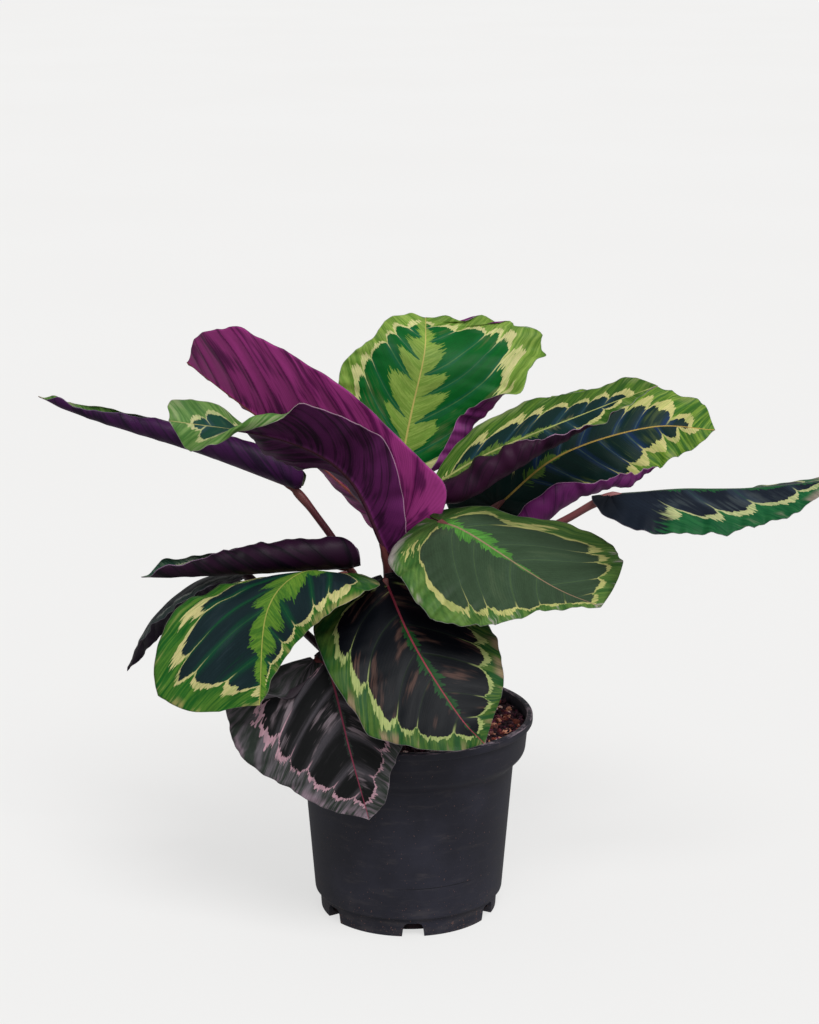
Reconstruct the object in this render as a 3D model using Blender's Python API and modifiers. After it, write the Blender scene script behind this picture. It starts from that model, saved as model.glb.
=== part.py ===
"""A potted calathea: a round nursery pot of soil with thirteen leaves, each a blade on its own petiole.

Metres, +Z up. The origin is the middle of the pot's underside, on the surface it stands on, and the
plant's front looks along -Y. Leaf dimensions are in millimetres and degrees, and are scaled by MM.
"""

import math
from collections import namedtuple

import bpy
import numpy as np

MM = 0.001
GAP = 0.3                     # clearance between pieces that touch, mm

# pot, mm
RIM_RADIUS = 70.0
RIM_HEIGHT = 115.0
LIP_HEIGHT = 5.0
COLLAR_RADIUS = 67.4
COLLAR_TAPER = 1.6
COLLAR_BOTTOM = 94.0
BODY_TOP = 88.0
BODY_TOP_RADIUS = 59.4
BODY_BOTTOM_RADIUS = 53.2
FOOT_HEIGHT = 11.0
FOOT_RADIUS = 50.5
FLOOR = 3.0
WALL = 1.6                    # the collar, body and foot are one thin wall
NOTCH_COUNT = 6
NOTCH_WIDTH = 11.0
NOTCH_HEIGHT = 8.0
NOTCH_DEPTH = 16.0
NOTCH_TURN = 33.0             # degrees from +X to the first notch
RIM_EASE = 0.8                # bevel of the rim's top edge
LIP_UNDERCUT = 0.6            # how far the rolled lip turns under
FOOT_EASE = 1.2               # bevel where the wall meets the foot
FOOT_DRAFT = 0.6              # how much narrower the foot is at the floor
POT_STEPS = 72
AXIS_MERGE = 0.00001          # m, closes a turned piece on its axis

# soil, mm
SOIL_TOP = 110.0
SOIL_MOUND = 1.0
SOIL_SLOPE_START = 30.0       # radius of the mound's level top

# plant, mm
BLADE_THICKNESS = 0.7
BLADE_ROWS = 13
BLADE_COLUMNS = 4             # on each side of the rib
COLUMN_STEPS = 8              # steps of the curl within a column
ROUTE_STEPS = 40              # samples between two points of a route
RIB_SAMPLES = 201
BASE_ROUNDNESS = 0.5          # exponent of the blade's outline at its base
CURL_EASE = 1.7               # more than 1 leaves the curl to the margin
LOBE = 0.08                   # how far the base lobes reach back, as a share of the length
LOBE_END = 0.4
STEM_RADIUS = 1.9
SHEATH_RADIUS = 2.5           # of a petiole at its foot
SHEATH_END = 0.5              # share of the petiole by which it has thinned
STEM_POINTS = 12
STEM_SIDES = 2                # bevel resolution of a petiole
STEM_END_RADIUS = 0.4
STEM_STOP = 0.95              # from the stem to the start of the rib
FOOT_RISE = 8.0               # a stem leaves the soil upright for this far

POT_ROUGHNESS = 0.55
SOIL_ROUGHNESS = 0.95
PLANT_ROUGHNESS = 0.45
POT_COLOUR = (0.022, 0.023, 0.032, 1.0)
SOIL_COLOUR = (0.035, 0.016, 0.010, 1.0)
STEM_COLOUR = (0.075, 0.018, 0.028, 1.0)
UPPER_SIDE = (0.030, 0.110, 0.045, 1.0)
UNDERSIDE = (0.110, 0.014, 0.085, 1.0)
FADED_SIDE = (0.060, 0.055, 0.055, 1.0)

# One leaf. The stem rises from its foot on the soil, through hand-picked points, to the start of the rib.
# upper is the way the upper side looks, from base to tip. width is the greatest half-width of the left
# and the right half, seen from above with the tip ahead, and widest is how far along it lies. Each half
# leaves the rib at its fold angle and bends through its curl angle on the way to the margin, both
# upwards, given from base to tip. shows is the colour of the side that shows most.
Leaf = namedtuple("Leaf", "name foot stem rib upper width widest fold_left curl_left fold_right curl_right"
                          " shows",
                  defaults=[UPPER_SIDE])

LEAVES = [
    Leaf("far_left",
         foot=(-16, 5), stem=[(-20, 8, 147), (-34, 14, 197)],
         rib=[(-63, 25, 238), (-117, 32, 257), (-179, 40, 275), (-208, 42, 287)],
         upper=[(0.2, 0.1, 1.0), (0.2, 0.0, 1.0)],
         width=(27, 24), widest=(0.25, 0.25),
         fold_left=(0,), curl_left=(200,),
         fold_right=(0,), curl_right=(240,),
         shows=UNDERSIDE),
    Leaf("purple_back",
         foot=(-10, 2), stem=[(-8, 1, 157), (1, -2, 203)],
         rib=[(-6, 0, 219), (-28, 8, 237), (-60, 22, 262), (-98, 42, 286), (-127, 75, 300)],
         upper=[(0.35, 0.95, 0.1), (0.5, 0.75, 0.4), (0.4, 0.8, 0.4)],
         width=(60, 40), widest=(0.42, 0.5),
         fold_left=(0,), curl_left=(20,),
         fold_right=(30,), curl_right=(60,),
         shows=UNDERSIDE),
    Leaf("curled_left",
         foot=(-10, -4), stem=[(-11, -5, 157)],
         rib=[(-12, -12, 212), (-32, -20, 255), (-66, -32, 279), (-128, -30, 289)],
         upper=[(0.5, 0.8, 0.2), (0.3, 0.9, 0.3), (0.1, 0.6, 0.8), (-0.2, -0.9, 0.5)],
         width=(34, 22), widest=(0.45, 0.55),
         fold_left=(0,), curl_left=(30,),
         fold_right=(60, 10, 0), curl_right=(30,),
         shows=UNDERSIDE),
    Leaf("top",
         foot=(-10, 8), stem=[(-10, 18, 167)],
         rib=[(-5, 56, 241), (2, 61, 275), (9, 68, 306), (10, 92, 323)],
         upper=[(0.1, -1.0, 0.2), (0.1, -0.8, 0.6)],
         width=(46, 70), widest=(0.5, 0.6),
         fold_left=(10,), curl_left=(0,),
         fold_right=(0,), curl_right=(30, 20, 10, -20)),
    Leaf("right_channelled",
         foot=(-4, 6), stem=[(-4, 10, 167)],
         rib=[(11, 14, 241), (47, 11, 263), (104, 6, 288), (136, 4, 301)],
         upper=[(-0.3, -0.35, 0.9), (-0.3, -0.35, 0.9)],
         width=(31, 46), widest=(0.5, 0.25),
         fold_left=(0,), curl_left=(10,),
         fold_right=(-35, -45, -40, -20), curl_right=(260, 280, 270, 120)),
    Leaf("upper_right",
         foot=(2, 8), stem=[(6, 15, 162), (25, 28, 200)],
         rib=[(50, 42, 223), (86, 50, 251), (137, 56, 266), (175, 58, 264)],
         upper=[(-0.3, -0.6, 0.75), (0.1, -0.7, 0.7)],
         width=(40, 58), widest=(0.55, 0.35),
         fold_left=(0,), curl_left=(10,),
         fold_right=(-48, -38, -20), curl_right=(300, 200, 0)),
    Leaf("far_right",
         foot=(3, 2), stem=[(10, 1, 147), (50, 4, 203), (85, -2, 226)],
         rib=[(110, -12, 244), (147, -16, 248), (185, -18, 249), (237, -22, 255)],
         upper=[(0.0, 0.1, 1.0), (0.0, 0.1, 1.0)],
         width=(32, 36), widest=(0.5, 0.35),
         fold_left=(-12, -12, 0), curl_left=(0,),
         fold_right=(-30,), curl_right=(-20,)),
    Leaf("centre_right",
         foot=(-4, -2), stem=[(-3, -4, 157), (4, -8, 202)],
         rib=[(17, -17, 230), (33, -32, 227), (75, -62, 207), (101, -76, 199)],
         upper=[(0.1, -0.5, 0.85), (0.4, -0.5, 0.8)],
         width=(50, 54), widest=(0.65, 0.4),
         fold_left=(0,), curl_left=(0,),
         fold_right=(0,), curl_right=(-20,)),
    Leaf("front",
         foot=(-7, -10), stem=[(-8, -12, 147)],
         rib=[(-13, -22, 199), (3, -66, 175), (26, -92, 145), (40, -96, 130)],
         upper=[(0.0, -0.6, 0.8), (0.1, -0.9, 0.5)],
         width=(44, 48), widest=(0.45, 0.42),
         fold_left=(0,), curl_left=(-20,),
         fold_right=(0,), curl_right=(-10,)),
    Leaf("left_front",
         foot=(-13, -9), stem=[(-15, -12, 157)],
         rib=[(-34, -22, 202), (-58, -46, 209), (-75, -66, 193), (-79, -77, 145)],
         upper=[(-0.1, -0.1, 1.0), (-0.3, -0.4, 0.8), (-0.3, -1.0, 0.1)],
         width=(46, 66), widest=(0.35, 0.75),
         fold_left=(0,), curl_left=(0,),
         fold_right=(-25, -14, 0), curl_right=(0,)),
    Leaf("rolled_left",
         foot=(-16, -2), stem=[(-18, -4, 157)],
         rib=[(-32, -10, 202), (-59, -11, 201), (-97, -12, 199), (-147, -12, 197)],
         upper=[(0.0, 0.1, 1.0), (0.0, 0.0, 1.0)],
         width=(36, 30), widest=(0.25, 0.25),
         fold_left=(0,), curl_left=(190,),
         fold_right=(0,), curl_right=(250,),
         shows=UNDERSIDE),
    Leaf("drooping_left",
         foot=(-25, 2), stem=[(-38, 4, 139), (-65, 5, 167)],
         rib=[(-92, 6, 195), (-117, 6, 190), (-142, 5, 169), (-158, 2, 138)],
         upper=[(-0.4, 0.3, 0.9), (-0.8, 0.3, 0.5)],
         width=(25, 24), widest=(0.4, 0.4),
         fold_left=(-10,), curl_left=(-30,),
         fold_right=(-10,), curl_right=(-30,),
         shows=UNDERSIDE),
    Leaf("hanging",
         foot=(-20, -8), stem=[(-26, -16, 135), (-42, -36, 157)],
         rib=[(-50, -50, 162), (-42, -62, 158), (-31, -80, 120), (-21, -84, 83)],
         upper=[(-0.4, -0.6, 0.7), (-0.2, -1.0, 0.1)],
         width=(36, 64), widest=(0.45, 0.38),
         fold_left=(0,), curl_left=(0,),
         fold_right=(0,), curl_right=(0,),
         shows=FADED_SIDE),
]

def smooth_route(points, count):
    """Count points, evenly spaced, on a Catmull-Rom curve through the given points."""
    knots = np.asarray(points, float)
    ends = [2 * knots[0] - knots[1], 2 * knots[-1] - knots[-2]]
    knots = np.vstack([ends[0], knots, ends[1]])
    fine = []
    for a, b, c, d in zip(knots, knots[1:], knots[2:], knots[3:]):
        u = np.linspace(0, 1, ROUTE_STEPS, endpoint=False)[:, None]
        fine.append(0.5 * (2 * b + (c - a) * u + (2 * a - 5 * b + 4 * c - d) * u**2
                           + (3 * b - a - 3 * c + d) * u**3))
    fine = np.vstack(fine + [knots[-2:-1]])
    travelled = np.concatenate([[0], np.cumsum(np.linalg.norm(np.diff(fine, axis=0), axis=1))])
    even = np.linspace(0, travelled[-1], count)
    return np.stack([np.interp(even, travelled, fine[:, axis]) for axis in range(3)], axis=1)


def along(values, s):
    """A value that runs from base to tip through one, two or three given values."""
    values = np.atleast_1d(np.asarray(values, float))
    stops = np.linspace(0, 1, len(values)) if len(values) > 1 else [0.0]
    return np.interp(s, stops, values)


def unit(rows):
    return rows / np.linalg.norm(rows, axis=1)[:, None]


def outline(s, widest):
    """Half-width of a blade as a share of its greatest: round at the base, blunter where widest is far."""
    narrowing = BASE_ROUNDNESS * (1 - widest) / widest
    return (s / widest) ** BASE_ROUNDNESS * ((1 - s) / (1 - widest)) ** narrowing


def blade_surface(leaf, s, columns):
    """Points of a blade: one row for each s from base to tip, and columns points on each side."""
    fine = smooth_route(leaf.rib, RIB_SAMPLES)
    place = np.linspace(0, 1, RIB_SAMPLES)
    rib = np.stack([np.interp(s, place, fine[:, axis]) for axis in range(3)], axis=1)
    slope = np.gradient(fine, axis=0)
    ahead = unit(np.stack([np.interp(s, place, slope[:, axis]) for axis in range(3)], axis=1))
    length = np.linalg.norm(np.diff(fine, axis=0), axis=1).sum()
    upper = np.asarray(leaf.upper, float)
    above = np.stack([along(upper[:, axis], s) for axis in range(3)], axis=1)
    above = unit(above - (above * ahead).sum(axis=1)[:, None] * ahead)
    right = np.cross(ahead, above)
    rows = np.zeros((len(s), 2 * columns + 1, 3))
    rows[:, columns] = rib
    halves = ((-1, leaf.width[0], leaf.widest[0], leaf.fold_left, leaf.curl_left),
              (1, leaf.width[1], leaf.widest[1], leaf.fold_right, leaf.curl_right))
    for side, width, widest, fold, curl in halves:
        reach = outline(s, widest)
        fold = along(fold, s)
        curl = along(curl, s)
        out = np.zeros(len(s))
        up = np.zeros(len(s))
        for column in range(1, columns + 1):
            for step in range(COLUMN_STEPS):
                across = reach * (column - 1 + (step + 0.5) / COLUMN_STEPS) / columns
                lean = np.radians(fold + curl * across**CURL_EASE)
                stride = width * reach / columns / COLUMN_STEPS
                out = out + stride * np.cos(lean)
                up = up + stride * np.sin(lean)
            lobe = LOBE * length * (column / columns)**2 * np.clip(1 - s / LOBE_END, 0, 1)**2
            rows[:, columns + side * column] = (rib + side * out[:, None] * right
                                                + up[:, None] * above - lobe[:, None] * ahead)
    return rows


def clear_scene():
    for item in list(bpy.data.objects):
        bpy.data.objects.remove(item, do_unlink=True)


def new_collection(name):
    collection = bpy.data.collections.new(name)
    bpy.context.scene.collection.children.link(collection)
    return collection


def plain_material(name, colour, roughness):
    material = bpy.data.materials.new(name)
    material.use_nodes = True
    shader = material.node_tree.nodes["Principled BSDF"]
    shader.inputs["Base Color"].default_value = colour
    shader.inputs["Roughness"].default_value = roughness
    shader.inputs["Metallic"].default_value = 0.0
    return material


def add_object(name, data, collection, material):
    item = bpy.data.objects.new(name, data)
    item.data.materials.append(material)
    collection.objects.link(item)
    return item


def mesh_from(name, points, faces):
    mesh = bpy.data.meshes.new(name)
    mesh.from_pydata([tuple(float(value) for value in point) for point in points], [], faces)
    mesh.update()
    return mesh


def turned(name, profile, collection, material):
    """A solid of revolution: profile is (radius, height) in mm, from the axis, up, out and down again."""
    edges = [(n, n + 1) for n in range(len(profile) - 1)]
    mesh = bpy.data.meshes.new(name)
    mesh.from_pydata([(radius * MM, 0.0, height * MM) for radius, height in profile], edges, [])
    item = add_object(name, mesh, collection, material)
    screw = item.modifiers.new("turn", "SCREW")
    screw.axis = "Z"
    screw.steps = POT_STEPS
    screw.render_steps = POT_STEPS
    screw.use_merge_vertices = True
    screw.merge_threshold = AXIS_MERGE
    return item


def cavity_profile(clearance, top):
    """The inside of the pot from its floor up to the given height, kept a clearance away, in mm."""
    foot = FOOT_RADIUS - 2 * WALL - clearance
    shelf = FOOT_HEIGHT + WALL + clearance
    bottom = BODY_BOTTOM_RADIUS - WALL - clearance
    body_top = BODY_TOP_RADIUS - WALL - clearance
    collar = COLLAR_RADIUS - COLLAR_TAPER - WALL - clearance
    rise = (top - COLLAR_BOTTOM) / (RIM_HEIGHT - LIP_HEIGHT - COLLAR_BOTTOM)
    return [(0.0, FLOOR + clearance), (foot, FLOOR + clearance), (foot, shelf), (bottom, shelf),
            (body_top, BODY_TOP), (collar, COLLAR_BOTTOM), (collar + COLLAR_TAPER * rise, top)]


def make_pot(collection, cutters):
    inner_rim = COLLAR_RADIUS - WALL
    lip_bottom = RIM_HEIGHT - LIP_HEIGHT
    outside = [(inner_rim + RIM_EASE, RIM_HEIGHT), (RIM_RADIUS - RIM_EASE, RIM_HEIGHT),
               (RIM_RADIUS, RIM_HEIGHT - RIM_EASE), (RIM_RADIUS, lip_bottom + LIP_UNDERCUT),
               (COLLAR_RADIUS, lip_bottom),
               (COLLAR_RADIUS - COLLAR_TAPER, COLLAR_BOTTOM), (BODY_TOP_RADIUS, BODY_TOP),
               (BODY_BOTTOM_RADIUS, FOOT_HEIGHT + FOOT_EASE), (BODY_BOTTOM_RADIUS - FOOT_EASE, FOOT_HEIGHT),
               (FOOT_RADIUS, FOOT_HEIGHT), (FOOT_RADIUS - FOOT_DRAFT, 0.0), (0.0, 0.0)]
    inside = cavity_profile(0.0, lip_bottom)
    pot = turned("pot", inside + outside, collection,
                 plain_material("pot plastic", POT_COLOUR, POT_ROUGHNESS))
    for number in range(NOTCH_COUNT):
        turn = math.radians(NOTCH_TURN + 360.0 / NOTCH_COUNT * number)
        bpy.ops.mesh.primitive_cube_add(size=1.0)
        cutter = bpy.context.object
        cutter.name = f"notch_cutter_{number + 1}"
        for owner in list(cutter.users_collection):
            owner.objects.unlink(cutter)
        cutters.objects.link(cutter)
        cutter.scale = (2 * NOTCH_DEPTH * MM, NOTCH_WIDTH * MM, 2 * NOTCH_HEIGHT * MM)
        cutter.location = (FOOT_RADIUS * MM * math.cos(turn), FOOT_RADIUS * MM * math.sin(turn), 0.0)
        cutter.rotation_euler = (0.0, 0.0, turn)
        cutter.hide_render = True
        cutter.display_type = "WIRE"
        cut = pot.modifiers.new(f"notch {number + 1}", "BOOLEAN")
        cut.operation = "DIFFERENCE"
        cut.solver = "EXACT"
        cut.object = cutter
    return pot


def make_soil(collection):
    side = list(reversed(cavity_profile(GAP, SOIL_TOP)))
    top = [(0.0, SOIL_TOP + SOIL_MOUND), (SOIL_SLOPE_START, SOIL_TOP + SOIL_MOUND)]
    return turned("soil", top + side, collection,
                  plain_material("potting soil", SOIL_COLOUR, SOIL_ROUGHNESS))


def stem_route(leaf):
    """Points of the petiole's middle line, from just above the soil to just short of the rib."""
    foot = (*leaf.foot, SOIL_TOP + SOIL_MOUND + GAP)
    upright = (*leaf.foot, foot[2] + FOOT_RISE)
    route = smooth_route([foot, upright, *leaf.stem, leaf.rib[0]], STEM_POINTS)
    last = route[-1] - route[-2]
    route[-1] -= last / np.linalg.norm(last) * STEM_STOP
    return route


def make_stem(leaf, collection):
    """The petiole: a tube, thicker where it sheathes the ones inside it and thin at its joint."""
    route = stem_route(leaf)
    curve = bpy.data.curves.new(f"stem_{leaf.name}", "CURVE")
    curve.dimensions = "3D"
    curve.bevel_depth = MM
    curve.bevel_resolution = STEM_SIDES
    curve.use_fill_caps = True
    spline = curve.splines.new("POLY")
    spline.points.add(len(route) - 1)
    for number, point in enumerate(route):
        climbed = min(1.0, number / (len(route) - 1) / SHEATH_END)
        spline.points[number].co = (*(float(value) * MM for value in point), 1.0)
        spline.points[number].radius = SHEATH_RADIUS + (STEM_RADIUS - SHEATH_RADIUS) * climbed
    spline.points[-1].radius = STEM_END_RADIUS
    return add_object(f"stem_{leaf.name}", curve, collection,
                      plain_material(f"stem skin {leaf.name}", STEM_COLOUR, PLANT_ROUGHNESS))


def make_blade(leaf, collection):
    """The blade: a lofted surface, thickened evenly about its middle."""
    s = 0.5 - 0.5 * np.cos(np.linspace(0, math.pi, BLADE_ROWS))
    rows = blade_surface(leaf, s[1:-1], BLADE_COLUMNS)
    ends = blade_surface(leaf, s[[0, -1]], 1)[:, 1]
    points = [ends[0], *rows.reshape(-1, 3), ends[1]]
    wide = 2 * BLADE_COLUMNS + 1
    last = len(points) - 1
    faces = [(0, n + 2, n + 1) for n in range(wide - 1)]
    for row in range(len(rows) - 1):
        corner = 1 + row * wide
        faces += [(corner + n, corner + n + 1, corner + n + 1 + wide, corner + n + wide)
                  for n in range(wide - 1)]
    faces += [(last, last - wide + n, last - wide + n + 1) for n in range(wide - 1)]
    mesh = mesh_from(f"leaf_{leaf.name}", np.array(points) * MM, faces)
    mesh.shade_smooth()
    item = add_object(f"leaf_{leaf.name}", mesh, collection,
                      plain_material(f"leaf skin {leaf.name}", leaf.shows, PLANT_ROUGHNESS))
    thicken = item.modifiers.new("thickness", "SOLIDIFY")
    thicken.thickness = BLADE_THICKNESS * MM
    thicken.offset = 0.0
    return item


def main():
    clear_scene()
    parts = new_collection("potted calathea")
    cutters = new_collection("cutters")
    make_pot(parts, cutters)
    make_soil(parts)
    for leaf in LEAVES:
        make_stem(leaf, parts)
        make_blade(leaf, parts)


if __name__ == "__main__":
    main()
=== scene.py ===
"""The looks of the potted calathea: patterned blades, petioles, potting mix and a black nursery pot.

Metres, +Z up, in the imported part's frame. Leaf dimensions are in millimetres and degrees.
"""
import math
from collections import namedtuple

import bmesh
import bpy
import numpy as np
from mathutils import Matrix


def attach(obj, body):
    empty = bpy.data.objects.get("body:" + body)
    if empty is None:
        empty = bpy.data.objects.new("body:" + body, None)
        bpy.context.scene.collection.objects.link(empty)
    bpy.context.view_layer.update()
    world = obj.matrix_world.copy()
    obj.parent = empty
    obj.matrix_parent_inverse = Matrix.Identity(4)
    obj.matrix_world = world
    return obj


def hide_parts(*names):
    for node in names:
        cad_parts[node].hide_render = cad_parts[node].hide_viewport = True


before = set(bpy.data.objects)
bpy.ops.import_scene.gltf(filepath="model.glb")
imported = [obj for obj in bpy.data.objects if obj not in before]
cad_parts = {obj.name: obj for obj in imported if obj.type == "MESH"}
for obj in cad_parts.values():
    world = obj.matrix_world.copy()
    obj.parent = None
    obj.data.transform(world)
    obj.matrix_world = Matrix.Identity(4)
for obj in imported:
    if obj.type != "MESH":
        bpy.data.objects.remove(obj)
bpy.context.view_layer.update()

MM = 0.001

# ---------------------------------------------------------------- the plant's own shape, as in the part
SOIL_TOP = 110.0
SOIL_MOUND = 1.0
SOIL_SLOPE_START = 30.0
SOIL_SLOPE_END = 64.0
GAP = 0.3
FOOT_RISE = 8.0
BASE_ROUNDNESS = 0.5
CURL_EASE = 1.7
LOBE = 0.08
LOBE_END = 0.4
RIB_SAMPLES = 201
ROUTE_STEPS = 40

# width is the half-width and widest its place along the rib, at the left and the right of the rib. fold and
# curl are how far a half leans up, in degrees: at once, and more and more towards its margin.
Leaf = namedtuple("Leaf", "name foot stem rib upper width widest fold_left curl_left fold_right curl_right",
                  defaults=[0, 0, 0, 0])

LEAVES = [
    Leaf("far_left", foot=(-16, 5), stem=[(-20, 8, 147), (-34, 14, 197)],
         rib=[(-63, 25, 238), (-117, 32, 257), (-179, 40, 275), (-208, 42, 287)],
         upper=[(0.2, 0.1, 1.0), (0.2, 0.0, 1.0)], width=(27, 24), widest=(0.25, 0.25), curl_left=200,
         curl_right=240),
    Leaf("purple_back", foot=(-10, 2), stem=[(-8, 1, 157), (1, -2, 203)],
         rib=[(-6, 0, 219), (-28, 8, 237), (-60, 22, 262), (-98, 42, 286), (-127, 75, 300)],
         upper=[(0.35, 0.95, 0.1), (0.5, 0.75, 0.4), (0.4, 0.8, 0.4)], width=(60, 40), widest=(0.42, 0.5),
         curl_left=20, fold_right=30, curl_right=60),
    Leaf("curled_left", foot=(-10, -4), stem=[(-11, -5, 157)],
         rib=[(-12, -12, 212), (-32, -20, 255), (-66, -32, 279), (-128, -30, 289)],
         upper=[(0.5, 0.8, 0.2), (0.3, 0.9, 0.3), (0.1, 0.6, 0.8), (-0.2, -0.9, 0.5)], width=(34, 22),
         widest=(0.45, 0.55), curl_left=30, fold_right=(60, 10, 0), curl_right=30),
    Leaf("top", foot=(-10, 8), stem=[(-10, 18, 167)],
         rib=[(-5, 56, 241), (2, 61, 275), (9, 68, 306), (10, 92, 323)],
         upper=[(0.1, -1.0, 0.2), (0.1, -0.8, 0.6)], width=(46, 70), widest=(0.5, 0.6), fold_left=10,
         curl_right=(30, 20, 10, -20)),
    Leaf("right_channelled", foot=(-4, 6), stem=[(-4, 10, 167)],
         rib=[(11, 14, 241), (47, 11, 263), (104, 6, 288), (136, 4, 301)],
         upper=[(-0.3, -0.35, 0.9), (-0.3, -0.35, 0.9)], width=(31, 46), widest=(0.5, 0.25), curl_left=10,
         fold_right=(-35, -45, -40, -20), curl_right=(260, 280, 270, 120)),
    Leaf("upper_right", foot=(2, 8), stem=[(6, 15, 162), (25, 28, 200)],
         rib=[(50, 42, 223), (86, 50, 251), (137, 56, 266), (175, 58, 264)],
         upper=[(-0.3, -0.6, 0.75), (0.1, -0.7, 0.7)], width=(40, 58), widest=(0.55, 0.35), curl_left=10,
         fold_right=(-48, -38, -20), curl_right=(300, 200, 0)),
    Leaf("far_right", foot=(3, 2), stem=[(10, 1, 147), (50, 4, 203), (85, -2, 226)],
         rib=[(110, -12, 244), (147, -16, 248), (185, -18, 249), (237, -22, 255)],
         upper=[(0.0, 0.1, 1.0), (0.0, 0.1, 1.0)], width=(32, 36), widest=(0.5, 0.35),
         fold_left=(-12, -12, 0), fold_right=-30, curl_right=-20),
    Leaf("centre_right", foot=(-4, -2), stem=[(-3, -4, 157), (4, -8, 202)],
         rib=[(17, -17, 230), (33, -32, 227), (75, -62, 207), (101, -76, 199)],
         upper=[(0.1, -0.5, 0.85), (0.4, -0.5, 0.8)], width=(50, 54), widest=(0.65, 0.4), curl_right=-20),
    Leaf("front", foot=(-7, -10), stem=[(-8, -12, 147)],
         rib=[(-13, -22, 199), (3, -66, 175), (26, -92, 145), (40, -96, 130)],
         upper=[(0.0, -0.6, 0.8), (0.1, -0.9, 0.5)], width=(44, 48), widest=(0.45, 0.42), curl_left=-20,
         curl_right=-10),
    Leaf("left_front", foot=(-13, -9), stem=[(-15, -12, 157)],
         rib=[(-34, -22, 202), (-58, -46, 209), (-75, -66, 193), (-79, -77, 145)],
         upper=[(-0.1, -0.1, 1.0), (-0.3, -0.4, 0.8), (-0.3, -1.0, 0.1)], width=(46, 66),
         widest=(0.35, 0.75), fold_right=(-25, -14, 0)),
    Leaf("rolled_left", foot=(-16, -2), stem=[(-18, -4, 157)],
         rib=[(-32, -10, 202), (-59, -11, 201), (-97, -12, 199), (-147, -12, 197)],
         upper=[(0.0, 0.1, 1.0), (0.0, 0.0, 1.0)], width=(36, 30), widest=(0.25, 0.25), curl_left=190,
         curl_right=250),
    Leaf("drooping_left", foot=(-25, 2), stem=[(-38, 4, 139), (-65, 5, 167)],
         rib=[(-92, 6, 195), (-117, 6, 190), (-142, 5, 169), (-158, 2, 138)],
         upper=[(-0.4, 0.3, 0.9), (-0.8, 0.3, 0.5)], width=(25, 24), widest=(0.4, 0.4), fold_left=-10,
         curl_left=-30, fold_right=-10, curl_right=-30),
    Leaf("hanging", foot=(-20, -8), stem=[(-26, -16, 135), (-42, -36, 157)],
         rib=[(-50, -50, 162), (-42, -62, 158), (-31, -80, 120), (-21, -84, 83)],
         upper=[(-0.4, -0.6, 0.7), (-0.2, -1.0, 0.1)], width=(36, 64), widest=(0.45, 0.38)),
]

# ---------------------------------------------------------------- finer shape, for the looks only
ROWS = 141
COLUMNS = 38
THICKNESS = 0.36              # of a real blade, mm
GROOVE = 0.28                 # and how deep it lies above
RIB_SPREAD = 1.0
APEX = 0.07                   # the last share of the blade, drawn to a point
APEX_SHARPNESS = 0.45
VEIN_SLANT = 0.58             # forward run of a side vein for each mm outwards
VEIN_BEND = 0.65              # and its bend towards the tip
FAN = 34.0                    # mm of vein coordinate for each radian round the base
VEIN_PITCH = 15.0             # of vein coordinate between two main side veins
FINE_PITCH = 1.05             # and between two fine ones
PLEAT_MIDDLE = 0.6            # of a pleat's or a bay's wave, which lies on the plain sheet
LIP_BEND = 0.16               # share of the width in which a lip reaches its full turn
NEST_MIDDLE = 0.46            # the nested outlines shrink on this point of the rib
NEST_LENGTHWISE = 0.42        # and less lengthways than across
NEST_STEPS = 24
SEED_STEP = 5.3               # in the noise, between one blade and the next

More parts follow.
